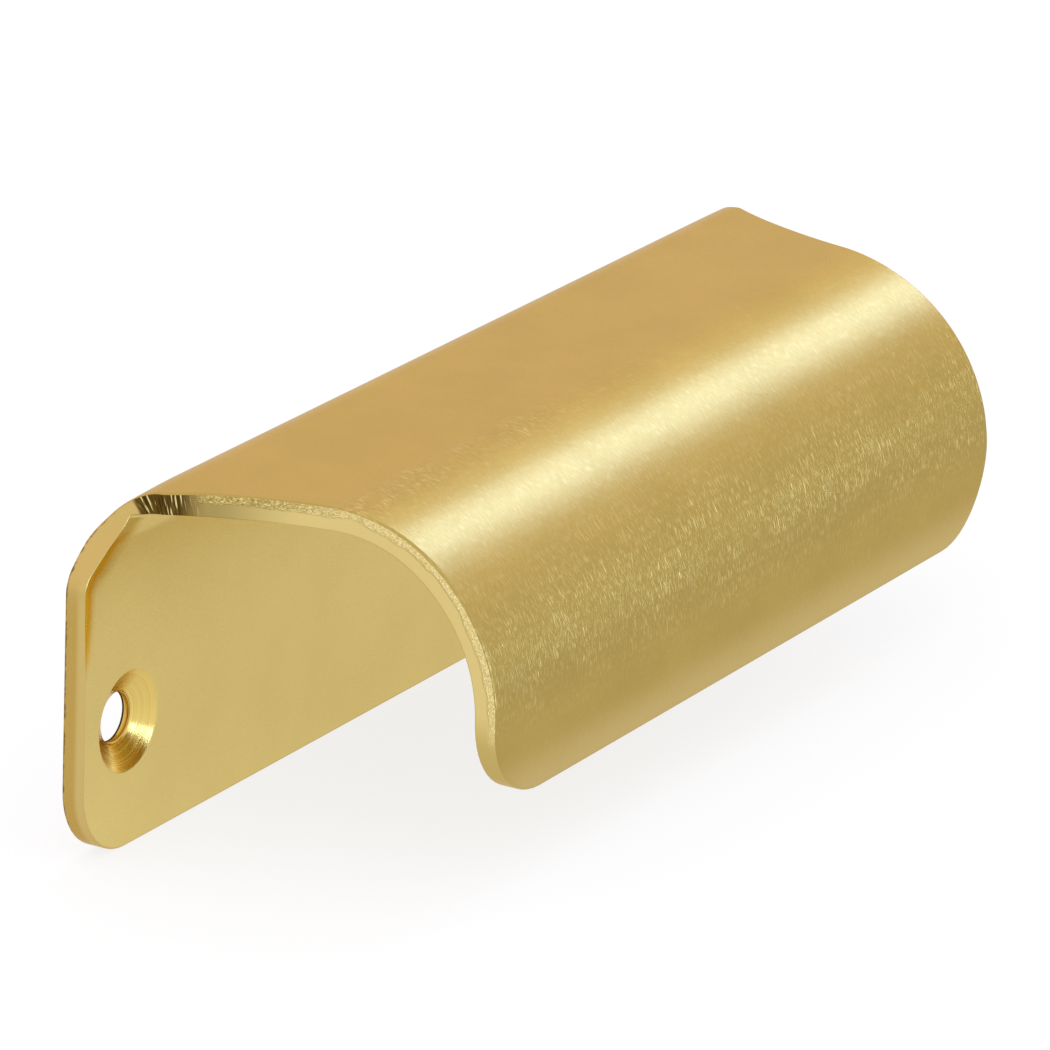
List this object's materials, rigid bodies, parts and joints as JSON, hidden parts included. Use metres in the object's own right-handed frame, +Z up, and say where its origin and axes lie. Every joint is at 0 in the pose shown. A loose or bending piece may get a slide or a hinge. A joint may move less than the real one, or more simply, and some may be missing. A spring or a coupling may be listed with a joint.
{
  "type": "cabinet handle",
  "caption": "Cabinet pull folded from one brass sheet: a flat screw plate, a square fold and a top that curls forward and down to a lip, leaving a finger gap behind it.",
  "frame": {"origin": "midway between the two screw holes, on the plate's flat wall face", "axes": "+X along the handle's length, +Y out of the wall face into the door, +Z up from the plate to the top"},
  "size_m": [0.109, 0.032, 0.03],
  "materials": {
    "brushed_brass": "satin, brushed round the section"
  },
  "bodies": {
    "root": {"handle": "brushed_brass"}
  },
  "joints": []
}
